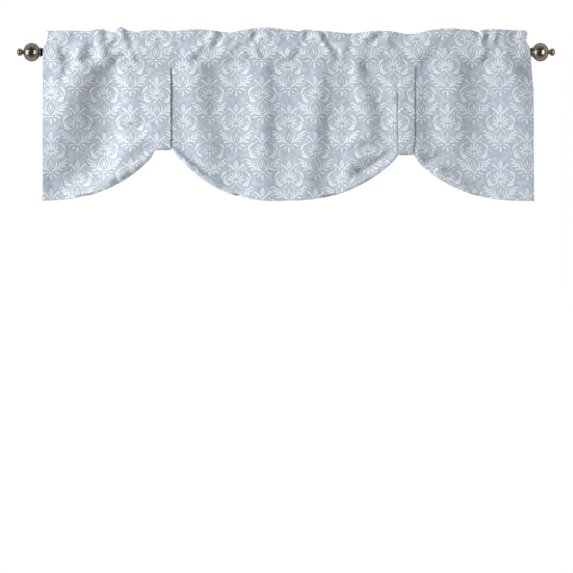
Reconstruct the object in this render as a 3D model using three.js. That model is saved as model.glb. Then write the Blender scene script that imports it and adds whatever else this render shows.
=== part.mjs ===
// A tie-up valance on a curtain rod.
//
// Millimetres, +Z up. The front of the valance faces -Y and +X runs to the right as seen from the
// front. The origin is on the rod's axis, halfway along the rod.
//
// The valance is one sheet of cloth. Going up from its hem it hangs as the skirt, splits around the
// rod as the rod pocket, stands above the rod as the heading, turns over and comes down behind the
// rod. Two straps hold the hem up: there the cloth turns up behind itself and hangs down again, and
// the hem sweeps down from each strap to its full drop.
import * as THREE from "three";

// ---- Driving dimensions --------------------------------------------------------------------

const ROD = { radius: 11, wall: 1, halfLength: 668 };

// Distances along the rod's axis are measured outwards from the middle of the rod.
const FINIAL = {
  mouth: 659.5,
  clearance: 0.3,
  collarRadius: 12.2,
  beadRadius: 12.9,
  beadLength: 2.6,
  ball: { centre: 684, radius: 25, halfLength: 22.8 },
  neckRadius: 6,
  button: { centre: 717, radius: 10.3, halfLength: 7 },
};

const CLOTH = {
  thickness: 1.2,
  layerGap: 1.8, // between the middles of two layers that are sewn together
  pocketTop: 20, // height of the seam over the rod
  pocketBottom: -38, // height of the seam under the rod
  turnedIn: 8, // cloth below the lower seam, behind the skirt
  skirt: 363, // length of cloth from the lower seam to the hem
  heading: 57.5, // height of the heading's top edge
  slack: 3, // how far the skirt's mean lies behind the rod's axis
};

// The fold at a strap: the cloth turns back and up, climbs, turns down again and ends in a tail.
const FOLD = { frontTurn: 6, backTurn: 4, climb: 3, tail: 2 };

const STRAP = { width: 44, thickness: 1.6, loopDepth: 27, loopCorner: 10 };

// The cloth lies flat this far out from a strap's middle, and hangs freely after release more.
const FLAT = { reach: 25, release: 34 };

// x is the strap's middle and bottom its loop's lowest point. Its left and right edges are pinched in
// at the bottom, and the hem is level for held to each side. Past that the hem first spills down by a
// share of its rise, then sweeps to its full drop over reach, quicker at first with a higher power.
const TIES = [
  {
    name: "tie_left",
    x: -333,
    bottom: -263.5,
    pinch: [6, 0],
    held: [17, 28],
    spill: [0.07, 0.04],
    reach: [400, 300],
    power: [3.5, 2.6],
  },
  {
    name: "tie_right",
    x: 324.5,
    bottom: -277.5,
    pinch: [2.5, 6],
    held: [20.5, 17.5],
    spill: [0.04, 0.07],
    reach: [350, 340],
    power: [2.9, 2.9],
  },
];
const SPILL_REACH = 16;

// Soft ridges of the skirt: their places at the seam, halfway down and at the hem.
const RIDGES = [
  { top: -537, middle: -607, hem: -661, width: 40, depth: 11 },
  { top: -411, middle: -396, hem: -400, width: 26, depth: 7 },
  { top: -222, middle: -222, hem: -188, width: 28, depth: 8 },
  { top: -92, middle: -86, hem: -98, width: 34, depth: 10 },
  { top: 86, middle: 64, hem: 36, width: 34, depth: 11 },
  { top: 196, middle: 222, hem: 238, width: 17, depth: 7 },
  { top: 262, middle: 274, hem: 280, width: 16, depth: 5 },
  { top: 442, middle: 444, hem: 436, width: 30, depth: 9 },
  { top: 574, middle: 586, hem: 596, width: 46, depth: 10 },
];

// Places where the heading's top edge stands high or dips, with the cloth leaning to suit.
const HEADING_WAVES = [
  { x: -549, rise: -2, width: 16 },
  { x: -508, rise: 4, width: 20 },
  { x: -474, rise: -5, width: 14 },
  { x: -448, rise: 10, width: 17 },
  { x: -408, rise: -5, width: 16 },
  { x: -312, rise: -2, width: 26 },
  { x: -246, rise: 4, width: 40 },
  { x: -152, rise: -6, width: 38 },
  { x: -54, rise: 8, width: 62 },
  { x: 180, rise: -7, width: 56 },
  { x: 344, rise: -9, width: 42 },
  { x: 462, rise: 5, width: 52 },
  { x: 533, rise: -4, width: 14 },
  { x: 582, rise: 4, width: 44 },
];

// Small gathers where the cloth is bunched along the rod.
const GATHERS = [
  { x: -598, width: 22, depth: 3 },
  { x: -530, width: 20, depth: 4 },
  { x: -466, width: 22, depth: 4 },
  { x: -385, width: 30, depth: 2 },
  { x: -206, width: 26, depth: 3 },
  { x: -120, width: 24, depth: 2 },
  { x: 0, width: 34, depth: 3 },
  { x: 125, width: 22, depth: 4 },
  { x: 208, width: 20, depth: 4 },
  { x: 396, width: 26, depth: 3 },
  { x: 470, width: 24, depth: 2 },
  { x: 549, width: 24, depth: 4 },
];

// The cloth's two side edges at each height.
const SIDES = [
  { z: 58, left: -640, right: 643 },
  { z: 50, left: -640, right: 650 },
  { z: 30, left: -644, right: 645 },
  { z: 20, left: -652, right: 654 },
  { z: 0, left: -653.5, right: 657 },
  { z: -100, left: -654, right: 666 },
  { z: -400, left: -654, right: 667 },
];

// Steps of the sheet's grid. Columns are closest at the straps' edges and grow wider away from them.
const COLUMNS = { nearStep: 9, growth: 0.2, step: 27 };
const ROWS = { skirt: 7, frontTurn: 3, climb: 1, backTurn: 2, tail: 1, heading: 2 };

const ROUND_SEGMENTS = 32;

// ---- Materials -----------------------------------------------------------------------------

const printedCloth = new THREE.MeshStandardMaterial({ color: 0xb9c2cf, roughness: 0.9, metalness: 0 });
const agedNickel = new THREE.MeshStandardMaterial({ color: 0x8f8676, roughness: 0.3, metalness: 1 });

// ---- Small functions -----------------------------------------------------------------------

const clamp = (t) => Math.min(1, Math.max(0, t));
const ease = (t) => clamp(t) ** 2 * (3 - 2 * clamp(t));
const bump = (distance, width) => Math.exp(-((distance / width) ** 2));
const sum = (rows, value) => rows.reduce((total, row) => total + value(row), 0);

function between(rows, key, at, column) {
  const after = rows.findIndex((row) => row[key] <= at);
  if (after === 0) return rows[0][column];
  if (after < 0) return rows.at(-1)[column];
  const [high, low] = [rows[after - 1], rows[after]];
  const share = (high[key] - at) / (high[key] - low[key]);
  return high[column] + share * (low[column] - high[column]);
}

// A closed solid of even thickness on a grid of points, where rows[i][j] is a Vector3.
function sheet(rows, thickness) {
  const [m, n] = [rows.length, rows[0].length];
  const at = (i, j) => rows[Math.min(m - 1, Math.max(0, i))][Math.min(n - 1, Math.max(0, j))];
  const positions = [];
  for (const side of [0.5, -0.5])
    for (let i = 0; i < m; i++)
      for (let j = 0; j < n; j++) {
        const along = at(i + 1, j).clone().sub(at(i - 1, j));
        const across = at(i, j + 1).clone().sub(at(i, j - 1));
        const normal = along.cross(across).normalize();
        positions.push(...normal.multiplyScalar(side * thickness).add(at(i, j)).toArray());
      }
  const index = [];
  const quad = (a, b, c, d) => index.push(a, b, c, a, c, d);
  const front = (i, j) => i * n + j;
  const back = (i, j) => m * n + i * n + j;
  for (let i = 0; i + 1 < m; i++)
    for (let j = 0; j + 1 < n; j++) {
      quad(front(i, j), front(i + 1, j), front(i + 1, j + 1), front(i, j + 1));
      quad(back(i, j), back(i, j + 1), back(i + 1, j + 1), back(i + 1, j));
    }
  for (let i = 0; i + 1 < m; i++) {
    quad(front(i + 1, 0), front(i, 0), back(i, 0), back(i + 1, 0));
    quad(front(i, n - 1), front(i + 1, n - 1), back(i + 1, n - 1), back(i, n - 1));
  }
  for (let j = 0; j + 1 < n; j++) {
    quad(front(0, j), front(0, j + 1), back(0, j + 1), back(0, j));
    quad(front(m - 1, j + 1), front(m - 1, j), back(m - 1, j), back(m - 1, j + 1));
  }
  const geometry = new THREE.BufferGeometry();
  geometry.setAttribute("position", new THREE.Float32BufferAttribute(positions, 3));
  geometry.setIndex(index);
  return geometry;
}

// ---- The fold at a strap -------------------------------------------------------------------

// The lengths of cloth in the fold, from the skirt down to the hem, and the angle that each ends at:
// 0 hangs straight down and pi runs straight up.
function stretches(angle, climb) {
  return [
    { length: Math.PI * FOLD.frontTurn, end: angle, steps: ROWS.frontTurn },
    { length: FOLD.climb + climb, end: angle, steps: ROWS.climb },
    { length: Math.PI * FOLD.backTurn, end: 0, steps: ROWS.backTurn },
    { length: FOLD.tail + climb, end: 0, steps: ROWS.tail },
  ];
}

// The points of that fold, as distances back and down from where it leaves the skirt.
function walk(angle, climb) {
  const points = [{ back: 0, down: 0 }];
  let heading = 0;
  for (const { length, end, steps } of stretches(angle, climb)) {
    const turn = (end - heading) / steps;
    const step = length / steps;
    for (let k = 0; k < steps; k++) {
      const chord = Math.abs(turn) < 1e-6 ? step : (step * Math.sin(turn / 2)) / (turn / 2);
      const last = points.at(-1);
      points.push({
        back: last.back + chord * Math.sin(heading + turn / 2),
        down: last.down + chord * Math.cos(heading + turn / 2),
      });
      heading += turn;
    }
  }
  return points;
}

const foldLength = (climb) => sum(stretches(0, climb), (s) => s.length);

// How far a fold lifts the lowest point of the cloth above where a straight hem would be.
function lift(angle, climb) {
  return foldLength(climb) - Math.max(...walk(angle, climb).map((p) => p.down));
}

function foldFor(rise) {
  const climb = Math.max(0, rise - lift(Math.PI, 0)) / 2;
  if (climb > 0) return { angle: Math.PI, climb };
  let [low, high] = [0, Math.PI];
  while (high - low > 1e-4) {
    const middle = (low + high) / 2;
    if (lift(middle, 0) < rise) low = middle;
    else high = middle;
  }
  return { angle: low, climb };
}

// ---- The valance ---------------------------------------------------------------------------

const FULL_DROP = CLOTH.pocketBottom - CLOTH.skirt;

// The most that a tie lifts the cloth, so that the cloth lies just inside the strap's loop.
const tieRise = (tie) => tie.bottom + STRAP.thickness + CLOTH.thickness + 1 - FULL_DROP;

const sideOf = (tie, x) => (x < tie.x ? 0 : 1);
const fromStrap = (tie, x) => Math.max(0, Math.abs(x - tie.x) - tie.held[sideOf(tie, x)]);

// 1 at a strap, falling to 0 where the hem hangs at its full drop.
function closure(tie, x) {
  const side = sideOf(tie, x);
  const out = fromStrap(tie, x);
  const sweep = clamp(1 - out / tie.reach[side]) ** tie.power[side];
  return sweep + tie.spill[side] * (clamp(1 - out / SPILL_REACH) - sweep);
}

const riseAt = (x) => sum(TIES, (tie) => tieRise(tie) * closure(tie, x));

// 1 where a strap holds the cloth flat, falling to 0 a little way to each side.
const heldFlat = (x) =>
  Math.max(...TIES.map((tie) => 1 - ease((Math.abs(x - tie.x) - FLAT.reach) / FLAT.release)));

// Depth of the skirt: ridges stand forward, which is -Y.
function drape(x, z) {
  const t = clamp((CLOTH.pocketBottom - z) / CLOTH.skirt);
  const ridges = sum(RIDGES, ({ top, middle, hem, width, depth }) => {
    const centre = top * (1 - t) * (1 - 2 * t) + middle * 4 * t * (1 - t) + hem * t * (2 * t - 1);
    return depth * bump(x - centre, width);
  });
  const grown = ease(t / 0.3) * (1 - heldFlat(x));
  return (CLOTH.slack - ridges) * grown;
}

// The cloth rolls forward over its folded-up hem, with a hollow above the roll.
function roll(x, z) {
  const lowest = FULL_DROP + riseAt(x);
  const share = Math.max(...TIES.map((tie) => closure(tie, x))) * (1 - heldFlat(x));
  return share * (5 * bump(z - lowest - 34, 14) - 7 * bump(z - lowest - 12, 13));
}

const gather = (x) => sum(GATHERS, (g) => g.depth * bump(x - g.x, g.width));
const headingTop = (x) => CLOTH.heading + sum(HEADING_WAVES, (w) => w.rise * bump(x - w.x, w.width));
const headingLean = (x) => -sum(HEADING_WAVES, (w) => 0.9 * w.rise * bump(x - w.x, w.width));

// The pocket's half-section, from the lower seam to the upper one: depth is measured from the rod's
// axis and loose is how much of the gathers shows there.
const ROUND_ROD = (ROD.radius + CLOTH.thickness / 2 + 0.7) / Math.cos(Math.PI / 12);
const onRod = (degrees, loose) => ({
  depth: ROUND_ROD * Math.cos(THREE.MathUtils.degToRad(degrees)),
  z: ROUND_ROD * Math.sin(THREE.MathUtils.degToRad(degrees)),
  loose,
});
const POCKET = [
  { depth: CLOTH.layerGap / 2, z: CLOTH.pocketBottom, loose: 0 },
  { depth: 7.4, z: -24, loose: 0.8 },
  onRod(-40, 1),
  onRod(-10, 1),
  onRod(20, 0.9),
  onRod(48, 0.6),
  { depth: CLOTH.layerGap / 2, z: CLOTH.pocketTop, loose: 0 },
];

// The cloth's section at x, from the hem to the turned-in end behind the rod, as [depth, height].
function section(x) {
  const half = CLOTH.layerGap / 2;
  const { angle, climb } = foldFor(riseAt(x));
  const foldTop = FULL_DROP + foldLength(climb);
  const skirtAt = (z) => drape(x, z) + roll(x, z);
  const hang = (z) => -half * (1 - ease((CLOTH.pocketBottom - z) / 60)) + skirtAt(z);

  const fold = walk(angle, climb).map(({ back, down }) => [hang(foldTop - down) + back, foldTop - down]);
  const skirt = [];
  for (let k = 1; k < ROWS.skirt; k++) {
    const z = foldTop + (k / ROWS.skirt) * (CLOTH.pocketBottom - foldTop);
    skirt.push([hang(z), z]);
  }
  const pocketFront = POCKET.map(({ depth, z, loose }) => [-depth - loose * gather(x), z]);
  const pocketBack = POCKET.map(({ depth, z, loose }) => [depth + loose * gather(x + 40) * 0.6, z]);

  const top = headingTop(x);
  const lean = (z) => headingLean(x) * ((z - CLOTH.pocketTop) / (top - CLOTH.pocketTop));
  const heading = (side) => {
    const points = [];
    for (let k = 1; k <= ROWS.heading; k++) {
      const z = CLOTH.pocketTop + (k / ROWS.heading) * (top - half - CLOTH.pocketTop);
      points.push([side * half + lean(z), z]);
    }
    return points;
  };
  return [
    ...fold.reverse(),
    ...skirt,
    ...pocketFront,
    ...heading(-1),
    [headingLean(x), top],
    ...heading(1).reverse(),
    ...pocketBack.reverse(),
    [half + 1.2, CLOTH.pocketBottom - CLOTH.turnedIn],
  ];
}

// Column places from one x to another, with both ends exact.
function columnsBetween(from, to) {
  const places = [from];
  while (places.at(-1) < to) {
    const x = places.at(-1);
    const away = Math.min(...TIES.map((tie) => Math.abs(Math.abs(x - tie.x) - STRAP.width / 2)));
    places.push(x + Math.min(COLUMNS.step, COLUMNS.nearStep + COLUMNS.growth * away));
  }
  const stretch = (to - from) / (places.at(-1) - from);
  return places.map((x) => from + (x - from) * stretch);
}

// Column places across the skirt, as shares of its width.
function columnShares() {
  const { left, right } = SIDES.at(-1);
  const heldEdges = TIES.flatMap((tie) => [tie.x - tie.held[0], tie.x + tie.held[1]]);
  const stops = [left, ...heldEdges, right];
  const places = [left];
  for (let k = 1; k < stops.length; k++) places.push(...columnsBetween(stops[k - 1], stops[k]).slice(1));
  return places.map((x) => (x - left) / (right - left));
}

function valance() {
  const { left, right } = SIDES.at(-1);
  const columns = columnShares().map((share) => {
    const nominal = left + share * (right - left);
    return section(nominal).map(([y, z]) => {
      const edge = (side) => between(SIDES, "z", z, side);
      return new THREE.Vector3(edge("left") + share * (edge("right") - edge("left")), y, z);
    });
  });
  return sheet(columns, CLOTH.thickness);
}

// ---- The straps ----------------------------------------------------------------------------

// The strap's middle line as [depth, height]: down the front, round the folded hem, up past the
// fold behind and in to the seam.
function strapLine(tie) {
  const clear = CLOTH.layerGap / 2 + CLOTH.thickness / 2 + STRAP.thickness / 2 + 0.3;
  const seam = CLOTH.pocketBottom - 1.2;
  const front = -clear - 0.8;
  const back = front + STRAP.loopDepth;
  const corner = tie.bottom + STRAP.thickness / 2 + STRAP.loopCorner;
  const shoulder = corner + foldFor(tieRise(tie)).climb + FOLD.climb + 2 * FOLD.backTurn;
  const leg = (y0, z0, y1, z1, steps) =>
    Array.from({ length: steps }, (_, k) => [
      THREE.MathUtils.lerp(y0, y1, k / steps),
      THREE.MathUtils.lerp(z0, z1, k / steps),
    ]);
  const quarter = (centre, startDegrees) =>
    [0, 22.5, 45, 67.5, 90].map((degrees) => {
      const angle = THREE.MathUtils.degToRad(startDegrees + degrees);
      return [centre + STRAP.loopCorner * Math.cos(angle), corner + STRAP.loopCorner * Math.sin(angle)];
    });
  return [
    ...leg(-clear, seam, front, corner, 7),
    ...quarter(front + STRAP.loopCorner, 180),
    ...quarter(back - STRAP.loopCorner, 270),
    ...leg(back, corner, back, shoulder, 3).slice(1),
    ...leg(back, shoulder, clear + 1.4, seam, 4),
    [clear + 1.4, seam],
  ];
}

function strap(tie) {
  const acrossSteps = 4;
  const columns = [];
  for (let i = 0; i <= acrossSteps; i++) {
    const side = (2 * i) / acrossSteps - 1;
    const pinch = side < 0 ? tie.pinch[0] : tie.pinch[1];
    columns.push(
      strapLine(tie).map(([y, z]) => {
        const pinched = pinch * bump(z - tie.bottom, 30);
        return new THREE.Vector3(tie.x + side * (STRAP.width / 2 - pinched), y, z);
      }),
    );
  }
  return sheet(columns.reverse(), STRAP.thickness);
}

// ---- The rod and its finials ---------------------------------------------------------------

// LatheGeometry turns a profile of (radius, distance along) about +Y; this lays that along +X.
function turned(profile) {
  return new THREE.LatheGeometry(profile, ROUND_SEGMENTS).rotateZ(-Math.PI / 2);
}

function rod() {
  const { radius, wall, halfLength } = ROD;
  return turned([
    new THREE.Vector2(radius, -halfLength),
    new THREE.Vector2(radius, halfLength),
    new THREE.Vector2(radius - wall, halfLength),
    new THREE.Vector2(radius - wall, -halfLength),
    new THREE.Vector2(radius, -halfLength),
  ]);
}

// Points of a spheroid's profile from one radius over its widest place to another radius.
function spheroid({ centre, radius, halfLength }, fromRadius, toRadius, steps) {
  const start = -Math.PI / 2 + Math.asin(fromRadius / radius);
  const end = Math.PI / 2 - Math.asin(toRadius / radius);
  const points = [];
  for (let k = 0; k <= steps; k++) {
    const angle = start + (k / steps) * (end - start);
    points.push(new THREE.Vector2(radius * Math.cos(angle), centre + halfLength * Math.sin(angle)));
  }
  return points;
}

function finial() {
  const { mouth, clearance, collarRadius, beadRadius, beadLength, ball, neckRadius, button } = FINIAL;
  const cupRadius = ROD.radius + clearance;
  const cupFloor = ROD.halfLength + clearance;
  const neck = (ball.centre + ball.halfLength + button.centre - button.halfLength) / 2;
  return turned([
    new THREE.Vector2(0, cupFloor),
    new THREE.Vector2(cupRadius, cupFloor),
    new THREE.Vector2(cupRadius, mouth),
    new THREE.Vector2(beadRadius - 0.6, mouth),
    new THREE.Vector2(beadRadius, mouth + 0.6),
    new THREE.Vector2(beadRadius, mouth + beadLength - 0.6),
    new THREE.Vector2(beadRadius - 0.6, mouth + beadLength),
    new THREE.Vector2(collarRadius - 0.4, mouth + beadLength + 0.4),
    ...spheroid(ball, collarRadius - 0.4, neckRadius + 0.8, 18),
    new THREE.Vector2(neckRadius, neck),
    ...spheroid(button, neckRadius + 0.8, 0.01, 9).slice(0, -1),
    new THREE.Vector2(0, button.centre + button.halfLength),
  ]);
}

// ---- The object ----------------------------------------------------------------------------

function piece(name, geometry, material) {
  const mesh = new THREE.Mesh(geometry, material);
  mesh.name = name;
  return mesh;
}

const object = new THREE.Group();
object.add(piece("valance", valance(), printedCloth));
for (const tie of TIES) object.add(piece(tie.name, strap(tie), printedCloth));
object.add(piece("rod", rod(), agedNickel));
object.add(piece("finial_right", finial(), agedNickel));
const finialLeft = piece("finial_left", finial(), agedNickel);
finialLeft.rotation.z = Math.PI;
object.add(finialLeft);

export default object;
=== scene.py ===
"""Looks for the tie-up valance on a curtain rod: printed cloth, two straps, a rod and its finials.

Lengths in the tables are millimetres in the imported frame: +X along the rod, +Z up, the cloth's front
faces -Y, and the origin is on the rod's axis. Meshes are made in metres.
"""
import math

import bmesh
import bpy
import numpy as np
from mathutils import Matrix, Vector


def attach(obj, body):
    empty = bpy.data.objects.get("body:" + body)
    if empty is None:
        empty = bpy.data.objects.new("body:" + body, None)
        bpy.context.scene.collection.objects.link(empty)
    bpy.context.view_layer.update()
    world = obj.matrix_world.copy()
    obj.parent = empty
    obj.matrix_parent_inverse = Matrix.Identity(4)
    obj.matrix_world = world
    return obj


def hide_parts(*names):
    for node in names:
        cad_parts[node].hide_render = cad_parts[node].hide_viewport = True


MM = 0.001
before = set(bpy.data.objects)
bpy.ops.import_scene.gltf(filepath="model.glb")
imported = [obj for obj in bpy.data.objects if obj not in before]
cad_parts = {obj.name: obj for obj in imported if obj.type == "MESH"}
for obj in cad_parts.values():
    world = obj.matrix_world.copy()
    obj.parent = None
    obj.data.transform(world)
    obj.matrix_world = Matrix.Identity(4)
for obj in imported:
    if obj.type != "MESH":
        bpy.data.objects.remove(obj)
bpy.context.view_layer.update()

# ---- Sizes, as in the part ----

THICKNESS, PART_THICKNESS = 0.9, 1.2
LAYER_GAP = 1.8
POCKET_TOP, POCKET_BOTTOM = 20.0, -38.0
# The length of cloth in one layer of the pocket, which goes over the rod.
TURNED_IN = 8.0
SKIRT = 363.0
HEADING = 57.5
FULL_DROP = POCKET_BOTTOM - SKIRT
# How far back the free skirt hangs, in full this far below the seam.
SLACK, SLACK_REACH = 3.0, 80
# The hem turns up behind itself where it rises by more than the start, fully past start + reach.
CURL = dict(start=7, reach=18)
FOLD = dict(front_turn=3.0, back_turn=3.0, climb=3.0, tail=2.0)
STRAP = dict(width=44.0, thickness=1.6, depth=27.0, corner=10.0)
# The strap's ends below the pocket's seam, its middle off the cloth's, and its least gap under the hem.
STRAP_TOP = POCKET_BOTTOM - 1.2
STRAP_OFF, STRAP_OFF_BACK = 2.5, 4.1
HEM_CLEAR = 1
# How far up a strap's pinch at the hem narrows it, and the rows and columns of its mesh.
PINCH_REACH = 30
STRAP_ROWS = dict(front=28, corner=8, up=10, inward=20)
STRAP_COLUMNS = 25
FLAT = dict(reach=25.0, release=34.0)
SPILL_REACH = 16.0
ROD_RADIUS, ROD_HALF, ROD_WALL = 11.0, 668.0, 1

TIES = [
    dict(name="tie_left", x=-333.0, bottom=-263.5, pinch=(6, 0), held=(17, 28), spill=(0.07, 0.04),
         reach=(400, 300), power=(3.5, 2.6)),
    dict(name="tie_right", x=324.5, bottom=-277.5, pinch=(2.5, 6), held=(20.5, 17.5), spill=(0.04, 0.07),
         reach=(350, 340), power=(2.9, 2.9)),
]

# Lines of the skirt's folds, from left to right: where each runs at six heights, and how far it stands
# forward there. The cloth is flat under the straps.
HEIGHTS = (-38, -100, -170, -250, -320, -390)
FOLDS = [
    dict(x=(-660, -660, -662, -664, -668, -670), forward=(3, 5, 12, 15, 13, 8)),
    dict(x=(-545, -580, -606, -636, -650, -656), forward=(11, 15, 16, 15, 11, 5)),
    dict(x=(-468, -470, -474, -486, -524, -610), forward=(-9, -11, -14, -14, -9, -1)),
    dict(x=(-424, -416, -410, -420, -452, -480), forward=(-1, 0, 1, 2, 5, 6)),
    dict(x=(-358,) * 6, forward=(0,) * 6),
    dict(x=(-306,) * 6, forward=(0,) * 6),
    dict(x=(-238, -240, -243, -225, -205, -190), forward=(6, 7, 5, 4, 3, 2)),
    dict(x=(-178, -175, -172, -165, -165, -160), forward=(-5, -6, -5, -4, -3, -2)),
    dict(x=(-142, -136, -132, -128, -130, -130), forward=(-5, -5, -5, -4, -3, -2)),
    dict(x=(-72, -66, -63, -62, -62, -60), forward=(4, 5, 6, 6, 5, 4)),
    dict(x=(-10, -16, -18, -18, -14, -10), forward=(-2, -2, -3, -2, 0, 1)),
    dict(x=(14, 14, 10, 4, 0, -4), forward=(-2, -2, -3, -2, 0, 1)),
    dict(x=(98, 86, 80, 72, 62, 50), forward=(3, 5, 6, 6, 5, 3)),
    dict(x=(140, 130, 126, 122, 120, 112), forward=(-1, -2, -4, -4, -4, -1)),
    dict(x=(166, 165, 160, 150, 140, 130), forward=(-3, -3, -3, -3, -3, -1)),
    dict(x=(193, 205, 222, 196, 175, 160), forward=(2, 4, 4, 2, 3, 2)),
    dict(x=(228, 246, 260, 250, 235, 215), forward=(-4, -4, -3, -1, -2, -1)),
    dict(x=(272, 288, 292, 292, 292, 292), forward=(1, 1, 0.3, 0, 0, 0)),
    dict(x=(302,) * 6, forward=(0,) * 6),
    dict(x=(349,) * 6, forward=(0,) * 6),
    dict(x=(384, 385, 385, 395, 400, 410), forward=(-2, -2.5, -2.5, -3, -2, -1)),
    dict(x=(448, 450, 450, 446, 450, 450), forward=(5, 5, 4, 1, 0, 0)),
    dict(x=(522, 528, 530, 520, 520, 520), forward=(-5, -5, -6, -5, -3, -2)),
    dict(x=(598, 622, 640, 650, 656, 658), forward=(4, 5, 7, 9, 9, 8)),
    dict(x=(669,) * 6, forward=(-5, 0, 6, 9, 9, 8)),
]

# The hem beside each strap, at five distances from it: the crease's height above the lowest cloth and
# how far it lies back, the roll's height and how far it stands forward, and the cloth pulled up into it.
AWAY = (0, 28, 65, 110, 165)
ROLLS = [
    dict(tie=0, side=0, crease=(12, 28, 36, 40, 36), hollow=(0, 0, 1, 1, 0), crest=(5, 12, 17, 20, 18),
         roll=(0, 4, 6, 9, 0), spread=14, pull=(0, 8, 14, 8, 0)),
    dict(tie=0, side=1, crease=(12, 24, 30, 38, 36), hollow=(0, 4, 6, 4, 0), crest=(5, 8, 9, 10, 10),
         roll=(0, 5, 6, 4, 0), spread=11, pull=(0, 8, 16, 12, 0)),
    dict(tie=1, side=0, crease=(14, 28, 32, 36, 36), hollow=(0, 4, 5, 6, 0), crest=(2, 4, 5, 6, 6),
         roll=(0, 5, 6, 5, 0), spread=11, pull=(0, 8, 16, 14, 0)),
    dict(tie=1, side=1, crease=(16, 34, 46, 60, 68), hollow=(0, 1, 4, 3, 0), crest=(4, 10, 16, 20, 20),
         roll=(0, 4, 6, 4, 0), spread=15, pull=(0, 6, 10, 8, 0)),
]
# The pull begins this far above the lowest cloth and grows on its way down.
PULL = dict(top=78, fade=70)

# Broad soft places that stand forward, or lie back where forward is negative.
SWELLS = [
    dict(x=-222, z=-248, across=34, down=26, forward=5),
    dict(x=-396, z=-206, across=40, down=16, forward=-8, tilt=0.1),
    dict(x=-420, z=-200, across=24, down=14, forward=-6),
    dict(x=-402, z=-252, across=50, down=20, forward=5, tilt=0.35),
    dict(x=200, z=-316, across=24, down=16, forward=-5),
    dict(x=205, z=-232, across=55, down=15, forward=6, tilt=0.3),
    dict(x=225, z=-281, across=60, down=12, forward=4, tilt=0.12),
    dict(x=-500, z=-362, across=60, down=26, forward=7),
    dict(x=-590, z=-398, across=90, down=16, forward=7),
    dict(x=-664, z=-350, across=20, down=30, forward=4),
    dict(x=385, z=-276, across=16, down=14, forward=3),
    dict(x=416, z=-313, across=19, down=18, forward=8),
    dict(x=425, z=-281, across=60, down=16, forward=-6),
    dict(x=478, z=-312, across=26, down=22, forward=-4),
    dict(x=-628, z=-345, across=18, down=30, forward=-3),
    dict(x=80, z=-335, across=30, down=26, forward=-3),
    dict(x=60, z=-350, across=34, down=36, forward=4),
    dict(x=166, z=-352, across=34, down=34, forward=4),
]

# Creases where the cloth is bunched on the rod. Each is darkest along a line that runs down from (x, z)
# by (run, drop), between a ridge on its left and a hollow on its right.
PUCKERS = [
    dict(x=-612, z=30, run=22, drop=92, width=18, depth=5.6),
    dict(x=-588, z=-38, run=-30, drop=44, width=10, depth=2.5),
    dict(x=-522, z=28, run=-38, drop=68, width=20, depth=7.0),
    dict(x=-508, z=66, run=14, drop=50, width=10, depth=3.1),
    dict(x=-514, z=22, run=10, drop=96, width=18, depth=1.3),
    dict(x=-492, z=30, run=40, drop=66, width=22, depth=9.0),
    dict(x=-446, z=66, run=18, drop=44, width=8, depth=2.0),
    dict(x=-440, z=40, run=48, drop=74, width=8, depth=3.6),
    dict(x=-352, z=48, run=8, drop=44, width=10, depth=1.5),
    dict(x=-206, z=30, run=-52, drop=60, width=12, depth=4.6),
    dict(x=-176, z=74, run=-34, drop=90, width=11, depth=4.3),
    dict(x=-206, z=16, run=0, drop=100, width=16, depth=0.5),
    dict(x=-112, z=30, run=-40, drop=44, width=10, depth=2.6),
    dict(x=-84, z=66, run=-16, drop=46, width=10, depth=3.6),
    dict(x=-80, z=28, run=22, drop=50, width=9, depth=2.6),
    dict(x=-44, z=6, run=8, drop=80, width=13, depth=1.4),
    dict(x=52, z=22, run=-56, drop=54, width=10, depth=2.6),
    dict(x=55, z=72, run=-3, drop=50, width=10, depth=3.8),
    dict(x=90, z=66, run=34, drop=62, width=9, depth=4.2),
    dict(x=112, z=30, run=36, drop=50, width=9, depth=4.6),
    dict(x=182, z=26, run=-28, drop=40, width=9, depth=2.8),
    dict(x=206, z=22, run=6, drop=96, width=18, depth=1.8),
    dict(x=272, z=60, run=-62, drop=42, width=10, depth=4.4),
    dict(x=284, z=44, run=16, drop=40, width=10, depth=1.5),
    dict(x=428, z=38, run=-90, drop=96, width=14, depth=3.3),
    dict(x=500, z=12, run=-8, drop=96, width=24, depth=1.4),
    dict(x=532, z=-4, run=-10, drop=80, width=14, depth=1.2),
    dict(x=554, z=30, run=-18, drop=66, width=12, depth=3.1),
    dict(x=558, z=62, run=-10, drop=44, width=10, depth=3.6),
    dict(x=588, z=60, run=-12, drop=58, width=9, depth=2.6),
    dict(x=628, z=68, run=-20, drop=104, width=16, depth=2.4),
    dict(x=648, z=24, run=-8, drop=110, width=24, depth=1.7),
]

PUCKER_STRENGTH = 0.95

HEADING_WAVES = [
    dict(x=-549, rise=-2, width=16), dict(x=-508, rise=4, width=20), dict(x=-474, rise=-5, width=14),
    dict(x=-450, rise=10, width=12), dict(x=-408, rise=-4, width=14), dict(x=-350, rise=2, width=22),
    dict(x=-312, rise=-2, width=26), dict(x=-246, rise=4, width=40), dict(x=-152, rise=-5, width=36),
    dict(x=-54, rise=8, width=60), dict(x=40, rise=-3, width=12), dict(x=62, rise=3, width=14),
    dict(x=180, rise=-7, width=54), dict(x=344, rise=-9, width=42), dict(x=455, rise=6, width=50),
    dict(x=533, rise=-6, width=9), dict(x=582, rise=4, width=44),
]

# The cloth's side edges at each height.
SIDES = dict(
    z=[-401, -100, 0, 14, 20, 30, 50, 54, 58],
    left=[-654, -654, -653.5, -652, -647, -643, -640, -640.5, -643],
    right=[667, 666, 657, 655, 651, 645, 649.5, 648, 644],
)


def clamp(t):
    return np.clip(t, 0.0, 1.0)


def ease(t):
    t = clamp(t)
    return t * t * (3 - 2 * t)


def evenly(count):
    """Even steps that end at 1."""
    return np.arange(1, count + 1) / count


def bump(distance, width):
    return np.exp(-((distance / width) ** 2))


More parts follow.
